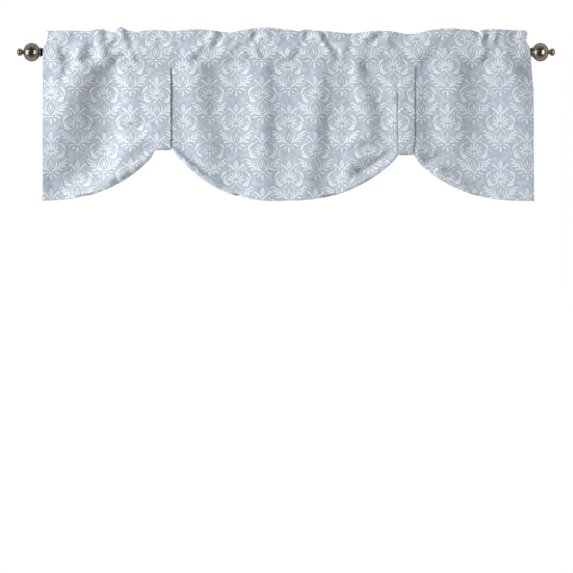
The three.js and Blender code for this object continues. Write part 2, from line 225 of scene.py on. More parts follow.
def noise2(x, y, cell_x, cell_y, seed):
    """Smooth noise from -1 to 1 on a grid of seeded values."""
    values = np.random.RandomState(seed).uniform(-1, 1, (64, 64))
    x, y = np.broadcast_arrays(np.asarray(x, float), np.asarray(y, float))
    gx, gy = x / cell_x + 32.0, y / cell_y + 32.0
    ix, iy = np.floor(gx).astype(int), np.floor(gy).astype(int)
    fx, fy = ease(gx - ix), ease(gy - iy)

    def at(a, b):
        return values[(ix + a) % 64, (iy + b) % 64]

    low = at(0, 0) * (1 - fx) + at(1, 0) * fx
    high = at(0, 1) * (1 - fx) + at(1, 1) * fx
    return low * (1 - fy) + high * fy


# ---- The fold under a strap ----

FOLD_ROWS = dict(front=10, climb=5, back=8, tail=3)
# The rows keep a direction where the hem isn't turned up.
LEAST_TURN = 1e-4


def stretches(angle, climb):
    """The fold's parts: each one's length, the direction it ends in, and its rows."""
    return [
        (angle * FOLD["front_turn"], angle, FOLD_ROWS["front"]),
        (FOLD["climb"] + climb, angle, FOLD_ROWS["climb"]),
        (angle * FOLD["back_turn"], 0.0, FOLD_ROWS["back"]),
        (FOLD["tail"] + climb, 0.0, FOLD_ROWS["tail"]),
    ]


def walk(angle, climb):
    """Distances back, down and along the cloth, from where the fold leaves the skirt to the hem."""
    points, heading = [(0.0, 0.0, 0.0)], 0.0
    for length, end, steps in stretches(angle, climb):
        turn, step = (end - heading) / steps, length / steps
        for _ in range(steps):
            chord = step if abs(turn) < 1e-6 else step * math.sin(turn / 2) / (turn / 2)
            back, down, along = points[-1]
            middle = heading + turn / 2
            points.append((back + chord * math.sin(middle), down + chord * math.cos(middle), along + step))
            heading += turn
    return np.array(points)


def fold_length(angle, climb):
    return sum(length for length, _, _ in stretches(angle, climb))


def lift(angle, climb):
    return fold_length(angle, climb) - walk(angle, climb)[:, 1].max()


def fold_for(rise):
    climb = max(0.0, rise - lift(math.pi, 0.0)) / 2
    if climb > 0:
        return math.pi, climb
    low, high = 0.0, math.pi
    for _ in range(24):
        middle = (low + high) / 2
        if lift(middle, 0.0) < rise:
            low = middle
        else:
            high = middle
    return max(low, LEAST_TURN), 0.0


# ---- The shape of the cloth ----


def tie_rise(tie):
    return tie["bottom"] + STRAP["thickness"] + PART_THICKNESS + HEM_CLEAR - FULL_DROP


def from_strap(tie, side, x):
    return np.maximum(0, (x - tie["x"]) * (1 if side else -1) - tie["held"][side])


def closure(tie, x):
    """1 at a strap, falling to 0 where the hem hangs at its full drop."""
    result = np.zeros_like(x)
    for side in (0, 1):
        out = from_strap(tie, side, x)
        sweep = clamp(1 - out / tie["reach"][side]) ** tie["power"][side]
        value = sweep + tie["spill"][side] * (clamp(1 - out / SPILL_REACH) - sweep)
        result = np.where((x >= tie["x"]) == bool(side), value, result)
    return result


def rise_at(x):
    return sum(tie_rise(tie) * closure(tie, x) for tie in TIES)


def held_flat(x):
    parts = [1 - ease((np.abs(x - tie["x"]) - FLAT["reach"]) / FLAT["release"]) for tie in TIES]
    return np.maximum(*parts)


def through(at, values, where):
    """A smooth curve through values at the given places, level at both ends."""
    at, values = np.array(at, float), np.array(values, float)
    if at[0] > at[-1]:
        at, values = at[::-1], values[::-1]
    steps = np.diff(values) / np.diff(at)
    slopes = np.concatenate([[0], (steps[1:] + steps[:-1]) / 2, [0]])
    where = np.clip(where, at[0], at[-1])
    k = np.clip(np.searchsorted(at, where, side="right") - 1, 0, len(at) - 2)
    size = at[k + 1] - at[k]
    t = (where - at[k]) / size
    return (values[k] * (1 + 2 * t) * (1 - t) ** 2 + values[k + 1] * t * t * (3 - 2 * t)
            + size * t * (1 - t) * (slopes[k] * (1 - t) - slopes[k + 1] * t))


def skirt_folds(x, z):
    """How far the skirt's folds stand forward, between one line and the next."""
    sway = 4 * noise2(z, 0, 46, 9, 5)
    lines = [(through(HEIGHTS, f["x"], z), through(HEIGHTS, f["forward"], z)) for f in FOLDS]
    total = np.zeros(np.broadcast(x, z).shape)
    for (low, out_low), (high, out_high) in zip(lines, lines[1:]):
        inside = (x >= low) & (x < high)
        t = (x - low) / np.maximum(high - low, 1)
        total = np.where(inside, out_low + (out_high - out_low) * ease(t), total)
    return total + 0.12 * sway * bump(x + 30, 240)


def roll_place(r, x):
    """Distances from a roll's strap, and which places are on its side of the strap."""
    tie = TIES[r["tie"]]
    return from_strap(tie, r["side"], x), (x < tie["x"]) != bool(r["side"])


def rolls(x, z, lowest):
    """The crease over the hem and the roll along it, as a depth."""
    total = 0.0
    above = z - lowest
    for r in ROLLS:
        out, beside = roll_place(r, x)
        crease, hollow, crest, roll = (through(AWAY, r[name], out)
                                       for name in ("crease", "hollow", "crest", "roll"))
        crease = crease + 3 * noise2(x, r["side"], 22, 9, 31)
        lumps = 1 + 0.35 * noise2(x, 7 * r["tie"] + r["side"], 19, 3, 33)
        total = total + np.where(beside, hollow * bump(above - crease, 0.25 * crease + 4)
                                 - roll * lumps * bump(above - crest, r["spread"]), 0)
    return total


def pulled_up(x, z, lowest):
    """Length of cloth taken up by the roll over the hem, which closes up the print there."""
    total = 0.0
    for r in ROLLS:
        out, beside = roll_place(r, x)
        share = ease((PULL["top"] - (z - lowest)) / PULL["fade"])
        total = total + np.where(beside, through(AWAY, r["pull"], out) * share, 0)
    return total


def swells(x, z):
    return -sum(s["forward"] * bump(x - s["x"], s["across"])
                * bump(z - s["z"] - s.get("tilt", 0) * (x - s["x"]), s["down"]) for s in SWELLS)


def puckers(x, z):
    """Short creases, as a depth: each has a ridge on its left and a hollow on its right."""
    end_share, side_share = 0.33, 0.85
    total = 0.0
    for p in PUCKERS:
        length = math.hypot(p["run"], p["drop"])
        ux, uz = p["run"] / length, -p["drop"] / length
        along = (x - p["x"]) * ux + (z - p["z"]) * uz
        across = -(x - p["x"]) * uz + (z - p["z"]) * ux
        ends = ease(along / (end_share * length)) * ease((length - along) / (end_share * length))
        side = side_share * p["width"]
        hollow_and_ridge = bump(across - side, p["width"]) - bump(across + side, p["width"])
        total = total + PUCKER_STRENGTH * p["depth"] * ends * hollow_and_ridge
    return total


def crinkles(x, z):
    """Small unevenness of the cloth, most of it near the rod."""
    fine = noise2(x + 0.35 * z, z, 15, 30, 3) + 0.6 * noise2(x - 0.4 * z, z, 8.5, 17, 4)
    near_rod = 0.3 + 0.7 * bump(z - 2, 44)
    broad = noise2(x + 0.1 * z, z, 30, 80, 6)
    return 1.1 * near_rod * fine + 0.8 * broad


# The groove in the cloth beside a strap's edge, and how far the cloth swells out beyond it.
EDGES = [
    dict(tie=0, side=0, top=-40, at=0.0, depth=0.0, width=2.0, swell=0.5),
    dict(tie=0, side=1, top=-40, at=1.2, depth=2.0, width=1.7, swell=0.0),
    dict(tie=1, side=0, top=-104, at=0.8, depth=1.8, width=1.3, swell=0.0),
    dict(tie=1, side=1, top=-40, at=0.9, depth=1.2, width=1.4, swell=0.0),
]


def pinched(tie, side, z):
    """How much narrower a strap is on one side."""
    return tie["pinch"][side] * bump(z - tie["bottom"], PINCH_REACH)


def grooves(x, z):
    total = 0.0
    for e in EDGES:
        tie = TIES[e["tie"]]
        out = (x - tie["x"]) * (1 if e["side"] else -1) - STRAP["width"] / 2 + pinched(tie, e["side"], z)
        down = ease((e["top"] - z) / 14) * ease((z - tie["bottom"] - 4) / 14)
        swell = e["swell"] * ease((out + 2.5) / 2.5) * (1 - ease(out / 30))
        total = total + down * (e["depth"] * bump(out - e["at"], e["width"]) - swell)
    return total


SEAM_FORWARD, SEAM_REACH = 5.0, 170
FOLD_STRENGTH = 1.1
FLARE = dict(forward=13.0, top=-310, reach=130)
HELD_SHARE = 0.15
# The straps' hold begins this far over the seam, and the creases end this low.
HOLD_BEGINS = 36
CREASES = dict(bottom=-130, fade=70)


def seam_forward(z):
    """How far the pocket's seam draws the skirt forward, less and less down the skirt."""
    return SEAM_FORWARD * (1 - ease((POCKET_BOTTOM - z) / SEAM_REACH))


def loosened(free):
    """1 where the cloth hangs free, and a small share where a strap holds it."""
    return HELD_SHARE + (1 - HELD_SHARE) * free


def relief(x, z):
    """The creases and crinkles, which nearly end where a strap holds the cloth."""
    free = 1 - held_flat(x) * ease((POCKET_BOTTOM + HOLD_BEGINS - z) / HOLD_BEGINS)
    creased = ease((z - CREASES["bottom"]) / CREASES["fade"])
    return free * puckers(x, z) * creased + loosened(free) * crinkles(x, z)


def skirt_base(x, z, lowest):
    """How far the skirt's larger shape lies behind the rod's axis, at its front layer's middle."""
    free = 1 - held_flat(x)
    plain = free * SLACK * ease((POCKET_BOTTOM - z) / SLACK_REACH) - seam_forward(z)
    plain = plain - FLARE["forward"] * ease((FLARE["top"] - z) / FLARE["reach"])
    folded = plain - FOLD_STRENGTH * skirt_folds(x, z) + loosened(free) * swells(x, z)
    return folded + rolls(x, z, lowest) + grooves(x, z)


def skirt_depth(x, z, lowest):
    return skirt_base(x, z, lowest) + relief(x, z)


def heading_top(x):
    return HEADING + sum(w["rise"] * bump(x - w["x"], w["width"]) for w in HEADING_WAVES)


def heading_lean(x, z):
    """How far the heading leans back, more and more towards its top edge."""
    share = clamp((z - POCKET_TOP) / (HEADING - POCKET_TOP))
    waves = -sum(0.5 * w["rise"] * bump(x - w["x"], w["width"]) for w in HEADING_WAVES)
    large = share * (waves + 2.2 * noise2(x, z, 26, 40, 12))
    return large + 1.2 * noise2(x, z, 13, 22, 13) * ease(share * 3)


ROWS = dict(skirt=60, pocket=20, heading=9, crown=4, turned=2)
# The round of the heading's top edge, and the cloth's middle off the rod over it and at the least.
CROWN = 1.4
ROD_EASE, ROD_CLEAR = 2.2, 0.5


def over_rod(z, at_seams):
    """Depth of a pocket layer that goes from its seams over the rod."""
    up = clamp((z - POCKET_BOTTOM) / (-POCKET_BOTTOM - 1))
    shape = np.where(z < 0, 0.5 * up + 0.5 * ease(up),
                     np.cos(math.pi / 2 * clamp(z / POCKET_TOP)))
    return at_seams + (ROD_RADIUS + THICKNESS / 2 + ROD_EASE - at_seams) * shape


def rod_clear(z):
    """Least distance of the cloth from the rod's axis, front or back."""
    reach = ROD_RADIUS + THICKNESS / 2 + ROD_CLEAR
    return np.sqrt(np.maximum(0, reach**2 - z**2))


def sheet_rows(x):
    """The sheet from the hem to the turned-in end: depth, height and place in the print, per column."""
    x = x[:, None]
    rise = rise_at(x)
    lowest = FULL_DROP + rise
    curled = rise * ease((rise - CURL["start"]) / CURL["reach"])
    folds = [fold_for(float(r)) for r in curled[:, 0]]
    turns = np.array([walk(*fold)[::-1] for fold in folds])
    fold_top = FULL_DROP + rise - curled + np.array([[fold_length(*fold)] for fold in folds])
    blocks = []

    def add(depth, z, place):
        blocks.append(np.stack(np.broadcast_arrays(depth, z, place), axis=2))

    z = fold_top - turns[:, :, 1]
    taken = pulled_up(x, fold_top, lowest)
    add(skirt_depth(x, z, lowest) + turns[:, :, 0], z, fold_top - turns[:, :, 2] - taken)
    z = fold_top + np.arange(1, ROWS["skirt"]) / ROWS["skirt"] * (POCKET_BOTTOM - fold_top)
    add(skirt_depth(x, z, lowest), z, z - pulled_up(x, z, lowest))

    share = np.arange(ROWS["pocket"] + 1)[None, :] / ROWS["pocket"]
    z = POCKET_BOTTOM + share * (POCKET_TOP - POCKET_BOTTOM) + 0 * x
    seam = -skirt_base(x, POCKET_BOTTOM + 0 * x, lowest)
    forward = seam * (1 - share) ** 1.6 + SEAM_FORWARD * share**3
    front = over_rod(z, LAYER_GAP / 2 + forward) - relief(x, z)
    add(-np.maximum(front, rod_clear(z)), z, z)

    top = heading_top(x)
    up = evenly(ROWS["heading"])[None, :]
    z = POCKET_TOP + up * (top - CROWN - POCKET_TOP)
    middle = heading_lean(x, z) - SEAM_FORWARD + relief(x, z)
    add(middle - LAYER_GAP / 2, z, z)
    turn = math.pi * np.arange(1, ROWS["crown"])[None, :] / ROWS["crown"]
    add(middle[:, -1:] - LAYER_GAP / 2 * np.cos(turn), top - CROWN + CROWN * np.sin(turn), top + 0 * turn)
    add(middle[:, ::-1] + LAYER_GAP / 2, z[:, ::-1], 2 * top - z[:, ::-1])

    share, forward = share[:, ::-1], forward[:, ::-1]
    z = POCKET_BOTTOM + share * (POCKET_TOP - POCKET_BOTTOM) + 0 * x
    loose = (1.1 * np.abs(noise2(x, z, 17, 26, 21)) + 0.6) * np.minimum(1, 12 * share * (1 - share))
    back = over_rod(z, LAYER_GAP / 2 - forward) + loose + relief(x, z) * (1 - 2 * share) ** 2
    beside_rod = np.abs(z) < ROD_RADIUS + ROD_CLEAR
    add(np.where(beside_rod, np.maximum(back, rod_clear(z)), back), z, 2 * top - z)
    down = np.arange(1, ROWS["turned"] + 1)[None, :]
    z = POCKET_BOTTOM - TURNED_IN * down / ROWS["turned"] + 0 * x
    add(skirt_depth(x, z, lowest) + 2.0 + 0.6 * down, z, 2 * top - z)
    return np.concatenate(blocks, axis=1)


def column_places():
    """Places along the rod, closest beside the straps."""
    closest, widest, near, growth = 1.0, 5.2, 4, 0.2
    left, right = SIDES["left"][0], SIDES["right"][0]
    places = [left]
    while places[-1] < right:
        x = places[-1]
        away = min(abs(abs(x - tie["x"]) - STRAP["width"] / 2) for tie in TIES)
        places.append(x + min(widest, closest + growth * max(0.0, away - near)))
    places = np.array(places)
    return left + (places - left) * (right - left) / (places[-1] - left)


# ---- Meshes ----


def new_object(name, vertices, faces, materials, slots=None, smooth=True):
    mesh = bpy.data.meshes.new(name)
    mesh.from_pydata([tuple(v) for v in vertices], [], faces)
    for material in materials:
        mesh.materials.append(material)
    if slots is not None:
        mesh.polygons.foreach_set("material_index", slots)
    if smooth:
        mesh.polygons.foreach_set("use_smooth", [True] * len(mesh.polygons))
    mesh.validate()
    mesh.update()
    obj = bpy.data.objects.new(name, mesh)
    bpy.context.scene.collection.objects.link(obj)
    return obj


def shell(name, points, places, thickness, materials, rim=0.5):
    """A closed sheet on a grid of points in mm (columns, rows, 3), with its flat places as UVs.

    The first material is on the side that faces out, the second on the wrong side and the edges.
    """
    m, n = points.shape[:2]
    along = np.gradient(points, axis=0)
    across = np.gradient(points, axis=1)
    normal = np.cross(along, across)
    normal /= np.linalg.norm(normal, axis=2, keepdims=True) + 1e-9
    half = np.full((m, 1, 1), thickness / 2)
    half[[0, -1]] *= rim
    outer = (points + normal * half).reshape(-1, 3)
    inner = (points - normal * half).reshape(-1, 3)
    vertices = np.concatenate([outer, inner]) * MM
    count = m * n
    faces, slots = [], []

    def add(face, slot):
        faces.append(face)
        slots.append(slot)

    for i in range(m - 1):
        for j in range(n - 1):
            a, b, c, d = i * n + j, (i + 1) * n + j, (i + 1) * n + j + 1, i * n + j + 1
            add((a, b, c, d), 0)
            add((a + count, d + count, c + count, b + count), 1)
    # The end rows are the hem and the turned-in edge, and the end columns the cloth's sides.
    for i in range(m - 1):
        for j, flip in ((0, True), (n - 1, False)):
            a, b = i * n + j, (i + 1) * n + j
            face = (a, b, b + count, a + count)
            add(face[::-1] if flip else face, 1)
    for j in range(n - 1):
        for i, flip in ((0, False), (m - 1, True)):
            a, b = i * n + j, i * n + j + 1
            face = (a, b, b + count, a + count)
            add(face[::-1] if flip else face, 1)
    obj = new_object(name, vertices, faces, materials, slots)
    obj.data.set_sharp_from_angle(angle=math.radians(50))
    flat = np.concatenate([places.reshape(-1, 2)] * 2) * MM
    layer = obj.data.uv_layers.new(name="Cloth")
    loops = np.empty(len(obj.data.loops), dtype=np.int32)
    obj.data.loops.foreach_get("vertex_index", loops)
    layer.data.foreach_set("uv", flat[loops].ravel())
    drop_empty_faces(obj)
    return obj


def drop_empty_faces(obj):
    """Closes up the rows that have no length where the hem isn't turned up."""
    mesh = bmesh.new()
    mesh.from_mesh(obj.data)
    bmesh.ops.dissolve_degenerate(mesh, dist=0.05 * MM, edges=mesh.edges[:])
    mesh.to_mesh(obj.data)
    mesh.free()


def lathe(name, profile, side, material, segments):
    """Turns a profile of (radius, distance along) about the rod's axis; side is +1 or -1."""
    vertices, rings, faces = [], [], []
    turns = [2 * math.pi * k / segments for k in range(segments)]
    for radius, distance in profile:
        if radius < 1e-4:
            rings.append([len(vertices)])
            vertices.append((side * distance * MM, 0.0, 0.0))
            continue
        rings.append(range(len(vertices), len(vertices) + segments))
        vertices += [(side * distance * MM, radius * MM * math.cos(t), radius * MM * math.sin(t))
                     for t in turns]
    for low, high in zip(rings, rings[1:]):
        for k in range(segments):
            a, b = low[k % len(low)], low[(k + 1) % len(low)]
            c, d = high[(k + 1) % len(high)], high[k % len(high)]
            face = list(dict.fromkeys((a, b, c, d)))
            faces.append(face if side > 0 else face[::-1])
    return new_object(name, vertices, faces, [material])


# ---- Material nodes ----


class Tree:
    """A material's node tree, with short calls for the maths."""

    def __init__(self, name):
        self.material = bpy.data.materials.new(name)
        self.material.use_nodes = True
        self.nodes = self.material.node_tree.nodes
        self.links = self.material.node_tree.links
        self.nodes.clear()
        output = self.nodes.new("ShaderNodeOutputMaterial")
        self.shader = self.nodes.new("ShaderNodeBsdfPrincipled")
        self.links.new(self.shader.outputs[0], output.inputs["Surface"])

    def feed(self, socket, value):
        if isinstance(value, bpy.types.NodeSocket):
            self.links.new(value, socket)
        elif value is not None:
            socket.default_value = value

    def surface(self, name, value):
        self.feed(self.shader.inputs[name], value)

    def math(self, operation, a, b=None):
        node = self.nodes.new("ShaderNodeMath")
        node.operation = operation
        for socket, value in zip(node.inputs, (a, b)):
            self.feed(socket, value)
        return node.outputs[0]

    def vector(self, operation, a, b=None, c=None, scale=None):
        node = self.nodes.new("ShaderNodeVectorMath")
        node.operation = operation
        for socket, value in zip(node.inputs, (a, b, c)):
            self.feed(socket, value)
        if scale is not None:
            self.feed(node.inputs["Scale"], scale)
        return node.outputs["Value" if operation in ("DISTANCE", "LENGTH") else "Vector"]

    def noise(self, vector, scale, detail=2.0, roughness=0.5, distortion=0.0, output="Fac"):
        node = self.nodes.new("ShaderNodeTexNoise")
        self.feed(node.inputs["Vector"], vector)
        for name, value in (("Scale", scale), ("Detail", detail), ("Roughness", roughness),
                            ("Distortion", distortion)):
            node.inputs[name].default_value = value
        return node.outputs[output]

    def blend(self, factor, a, b):
        node = self.nodes.new("ShaderNodeMix")
        node.data_type = "RGBA"
        self.feed(node.inputs[0], factor)
        self.feed(node.inputs[6], a)
        self.feed(node.inputs[7], b)
        return node.outputs[2]

    def smooth(self, value, low, high, to_low=0.0, to_high=1.0):
        node = self.nodes.new("ShaderNodeMapRange")
        node.interpolation_type = "SMOOTHSTEP"
        for socket, v in zip(node.inputs, (value, low, high, to_low, to_high)):
            self.feed(socket, v)
        return node.outputs[0]

    def wash(self, colour, value, low, high, at_low, at_high, shade):
        """The colour with a shade over it, by a share that goes with the value."""
        return self.blend(self.smooth(value, low, high, at_low, at_high), colour, linear(*shade))

    def bump(self, height, distance, strength):
        node = self.nodes.new("ShaderNodeBump")
        node.inputs["Strength"].default_value = strength
        node.inputs["Distance"].default_value = distance
        self.feed(node.inputs["Height"], height)
        return node.outputs[0]


def linear(red, green, blue):
    """An sRGB colour of 0 to 255 as a linear RGBA."""
    shares = [c / 255 for c in (red, green, blue)]
    return (*(c / 12.92 if c <= 0.04045 else ((c + 0.055) / 1.055) ** 2.4 for c in shares), 1.0)


# The damask's right half in mm about the motif's middle: a palmette in a pair of scrolls, over a tulip
# between acanthus sprays. Each leaf runs from its root to its tip, and left and right are how far its
# two edges bow to each side: a negative one makes a curved leaf.
DAMASK = [
    # the spear over its two sepals
    dict(part="spear", root=(0, 43), tip=(0, 68), left=6.0, right=6.0),
    dict(part="sepal", root=(1, 39), tip=(14, 55), left=0.8, right=5.0),
    dict(part="sepal bud", root=(15, 50), tip=(22, 59), left=3.4, right=3.4),
    # a palmette of seven leaflets, fanned out from its calyx
    dict(part="fan upright", root=(0, 17), tip=(0, 42), left=3.0, right=3.0),
    dict(part="fan high", root=(3, 17), tip=(11, 37), left=2.2, right=2.6),
    dict(part="fan middle", root=(5, 15), tip=(20, 28), left=2.2, right=2.6),
    dict(part="fan low", root=(6, 12), tip=(23, 17), left=2.0, right=2.6),
    dict(part="calyx", root=(2, 12), tip=(14, 2), left=3.4, right=0.6),
    dict(part="calyx stem", root=(0, -1), tip=(0, 15), left=2.4, right=2.4),
    # the scroll round it, which curls in at the top
    dict(part="scroll arm", root=(12, 1), tip=(37, 18), left=-4.4, right=9.8),
    dict(part="scroll turn", root=(37, 14), tip=(20, 37), left=-4.2, right=9.8),
    dict(part="scroll end", root=(20, 37), tip=(15, 45), left=2.6, right=1.4),
    dict(part="scroll leaf", root=(32, 10), tip=(27, 23), left=-0.4, right=4.0),
    dict(part="scroll tendril", root=(19, 5), tip=(32, 15), left=-1.6, right=4.2),
    dict(part="scroll foot", root=(19, -3), tip=(36, 5), left=0.4, right=4.0),
    # the tulip, its lining and its stamen
    dict(part="tulip", root=(0, -39), tip=(13, -11), left=-4.4, right=9.2),
    dict(part="tulip lip", root=(11, -14), tip=(6, -1), left=-0.6, right=3.2),
    dict(part="tulip lining", root=(0, -33), tip=(6, -13), left=-1.6, right=4.4),
    dict(part="stamen", root=(0, -26), tip=(0, -7), left=2.0, right=2.0),
    dict(part="keystone", root=(2, -3), tip=(10, -1), left=1.8, right=1.0),
    # the acanthus spray beside it
    dict(part="rib", root=(7, -38), tip=(24, -8), left=-4.2, right=8.4),
    dict(part="spray top", root=(24, -14), tip=(44, -1), left=-0.6, right=5.4),
    dict(part="spray high", root=(24, -20), tip=(47, -12), left=1.4, right=4.2),
    dict(part="spray middle", root=(22, -26), tip=(41, -25), left=3.4, right=2.2),
    dict(part="spray low", root=(18, -32), tip=(35, -37), left=3.8, right=1.2),
    dict(part="spray berry", root=(43, -5), tip=(49, -9), left=2.0, right=2.0),
    # the foot with its drop
    dict(part="foot leaf", root=(8, -42), tip=(27, -48), left=4.2, right=0.2),
    dict(part="foot curl", root=(4, -46), tip=(15, -57), left=3.6, right=0.6),
    dict(part="foot knot", root=(-1, -42), tip=(7, -42), left=1.8, right=1.8),
    dict(part="drop", root=(0, -46), tip=(0, -65), left=3.6, right=3.6),
]
# The soft pale field behind the leaves, on the same terms.
BODY = [
    dict(part="heart", root=(0, -52), tip=(0, 42), left=34.0, right=34.0),
    dict(part="crest", root=(0, 12), tip=(0, 62), left=15.0, right=15.0),
]
# The half-drop repeat, the middle of one motif, and how much closer its sides are than its ends.
REPEAT = (142.3, 150.8)
MOTIF_AT = (-134.0, -56.0)
SIDEWAYS = 1.43


def arc(tree, place, root, tip, bow):
    """Distance outside the circle through root and tip whose edge bows to the left by bow."""
    root, tip = np.array(root, float), np.array(tip, float)
    half = np.linalg.norm(tip - root) / 2
    aside = np.array([-(tip - root)[1], (tip - root)[0]]) / (2 * half)
    radius = (half**2 + bow**2) / (2 * abs(bow))
    centre = (root + tip) / 2 + aside * (bow - math.copysign(radius, bow))
    away = tree.vector("DISTANCE", place, (centre[0], centre[1], 0.0))
    return away, radius


def leaf(tree, place, row):
    """Distance outside a leaf, which lies between the arcs of its two edges."""
    edges = []
    for outward, bow in ((row["left"], row["left"]), (row["right"], -row["right"])):
        away, radius = arc(tree, place, row["root"], row["tip"], bow)
        edges.append(tree.math("SUBTRACT", away, radius) if outward > 0
                     else tree.math("SUBTRACT", radius, away))
    return tree.math("MAXIMUM", *edges)


def damask(tree, flat):
    """Distances in mm outside the leaves and outside the field, and the place across the motif."""
    wobble = tree.noise(flat, 0.16, detail=1.5, output="Color")
    shift = tree.vector("MULTIPLY", tree.vector("SUBTRACT", wobble, (0.5, 0.5, 0.5)), (4.2, 4.2, 0.0))
    at = tree.vector("ADD", tree.vector("SUBTRACT", flat, (*MOTIF_AT, 0.0)), shift)
    half = (REPEAT[0] / 2, REPEAT[1] / 2, 1.0)
    opposite = tuple(-h for h in half)
    first = tree.vector("WRAP", at, half, opposite)
    second = tree.vector("WRAP", tree.vector("SUBTRACT", at, (half[0], half[1], 0.0)), half, opposite)
    reach = [tree.vector("LENGTH", tree.vector("MULTIPLY", p, (SIDEWAYS, 1.0, 0.0))) for p in (first, second)]
    nearer = tree.math("LESS_THAN", reach[1], reach[0])
    pick = tree.nodes.new("ShaderNodeMix")
    pick.data_type = "VECTOR"
    tree.feed(pick.inputs[0], nearer)
    tree.feed(pick.inputs[4], first)
    tree.feed(pick.inputs[5], second)
    parts = tree.nodes.new("ShaderNodeSeparateXYZ")
    tree.feed(parts.inputs[0], pick.outputs[1])
    folded = tree.nodes.new("ShaderNodeCombineXYZ")
    tree.feed(folded.inputs[0], tree.math("ABSOLUTE", parts.outputs[0]))
    tree.feed(folded.inputs[1], parts.outputs[1])
    place = folded.outputs[0]
    distances = []
    for rows in (DAMASK, BODY):
        nearest = leaf(tree, place, rows[0])
        for row in rows[1:]:
            nearest = tree.math("MINIMUM", nearest, leaf(tree, place, row))
        distances.append(nearest)
    return *distances, parts.outputs[0]


def cloth_material(name, strength=1.0):
    """Pale damask printed on a mottled blue-grey ground, on a plain weave."""
    tree = Tree(name)
    uv = tree.nodes.new("ShaderNodeUVMap")
    uv.uv_map = "Cloth"
    flat = tree.vector("SCALE", uv.outputs[0], scale=1000.0)
    distance, field, aside = damask(tree, flat)

    broad = tree.noise(flat, 0.013, detail=3, roughness=0.55, distortion=0.4)
    hues = tree.noise(tree.vector("ADD", flat, (311.0, 57.0, 0.0)), 0.05, detail=2, roughness=0.6)
    blots = tree.noise(flat, 0.035, detail=3, roughness=0.6)
    mottle = tree.noise(flat, 0.075, detail=3, roughness=0.65)
    grain = tree.noise(flat, 0.4, detail=2, roughness=0.8)
    fine = tree.noise(flat, 0.22, detail=3, roughness=0.6)

    # The ground, then the soft field, the dark line round each leaf and the light grain.
    ground = tree.blend(tree.smooth(broad, 0.38, 0.62), linear(165, 174, 190), linear(168, 179, 184))
    ground = tree.wash(ground, hues, 0.50, 0.60, 0.0, 0.5, (168, 180, 184))
    ground = tree.wash(ground, hues, 0.48, 0.38, 0.0, 0.7, (174, 174, 193))
    ground = tree.wash(ground, blots, 0.40, 0.70, 0.0, 0.8, (184, 191, 199))
    ground = tree.wash(ground, mottle, 0.50, 0.38, 0.0, 0.5, (150, 159, 172))
    ground = tree.wash(ground, mottle, 0.51, 0.62, 0.0, 0.5, (198, 205, 212))
    ground = tree.wash(ground, field, -9.0, 5.0, 0.42 * strength, 0.0, (199, 205, 213))
    ground = tree.wash(ground, distance, 0.3, 3.4, 0.66 * strength, 0.0, (130, 139, 151))
    ground = tree.wash(ground, grain, 0.5, 0.72, 0.0, 0.3, (206, 212, 220))

    # The print is cooler on the motif's left, duller in patches and in the leaves' middles, and worn.
    ink = tree.blend(tree.smooth(aside, -30.0, 30.0), linear(231, 239, 244), linear(238, 237, 244))
    ink = tree.wash(ink, fine, 0.35, 0.8, 0.0, 0.7, (192, 200, 210))
    ink = tree.wash(ink, distance, -2.4, -1.2, 0.42, 0.0, (170, 179, 190))
    worn = tree.smooth(grain, 0.36, 0.58, 0.58, 1.0)
    printed = tree.smooth(distance, -1.1, 1.1, strength, 0.0)
    colour = tree.blend(tree.math("MULTIPLY", printed, worn), ground, ink)

    threads_across = tree.noise(tree.vector("MULTIPLY", flat, (0.12, 1.6, 1.0)), 1.0, detail=2)
    threads_down = tree.noise(tree.vector("MULTIPLY", flat, (1.6, 0.12, 1.0)), 1.0, detail=2)
    weave = tree.math("ADD", threads_across, threads_down)
    colour = tree.wash(colour, weave, 0.75, 1.3, 0.0, 0.16, (150, 158, 170))
    tree.surface("Base Color", colour)
    tree.surface("Roughness", tree.smooth(weave, 0.6, 1.4, 0.78, 0.92))
    tree.surface("Normal", tree.bump(weave, 0.0004, 0.35))
    tree.surface("Sheen Weight", 0.12)
    tree.surface("Sheen Roughness", 0.5)
    tree.surface("Specular IOR Level", 0.25)
    return tree.material


def metal_material(name):
    """Polished antique nickel with a brown patina."""
    tree = Tree(name)
    where = tree.nodes.new("ShaderNodeTexCoord").outputs["Object"]
    cloud = tree.noise(where, 90.0, detail=4, roughness=0.6)
    speck = tree.noise(where, 700.0, detail=2)
    colour = tree.blend(tree.smooth(cloud, 0.35, 0.7), linear(182, 174, 159), linear(143, 133, 115))
    tree.surface("Base Color", colour)
    tree.surface("Roughness", tree.smooth(cloud, 0.3, 0.75, 0.07, 0.2))
    tree.surface("Normal", tree.bump(speck, 0.0001, 0.12))
    tree.surface("Metallic", 1.0)
    return tree.material


# ---- The pieces ----

right_side = cloth_material("printed_cloth")
wrong_side = cloth_material("cloth_wrong_side", strength=0.3)
metal = metal_material("antique_nickel")


def make_valance():
    x = column_places()
    left, right = SIDES["left"][0], SIDES["right"][0]
    rows = sheet_rows(x)
    depth, z, place = rows[:, :, 0], rows[:, :, 1], rows[:, :, 2]
    low, high = np.interp(z, SIDES["z"], SIDES["left"]), np.interp(z, SIDES["z"], SIDES["right"])
    wide = low + ((x - left) / (right - left))[:, None] * (high - low)
    points = np.stack([wide, depth, z], axis=2)
    flat = np.stack([np.broadcast_to(x[:, None], z.shape), place], axis=2)
    cloth = shell("valance_cloth", points, flat, THICKNESS, [right_side, wrong_side])
    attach(cloth, "root")
    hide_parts("valance")


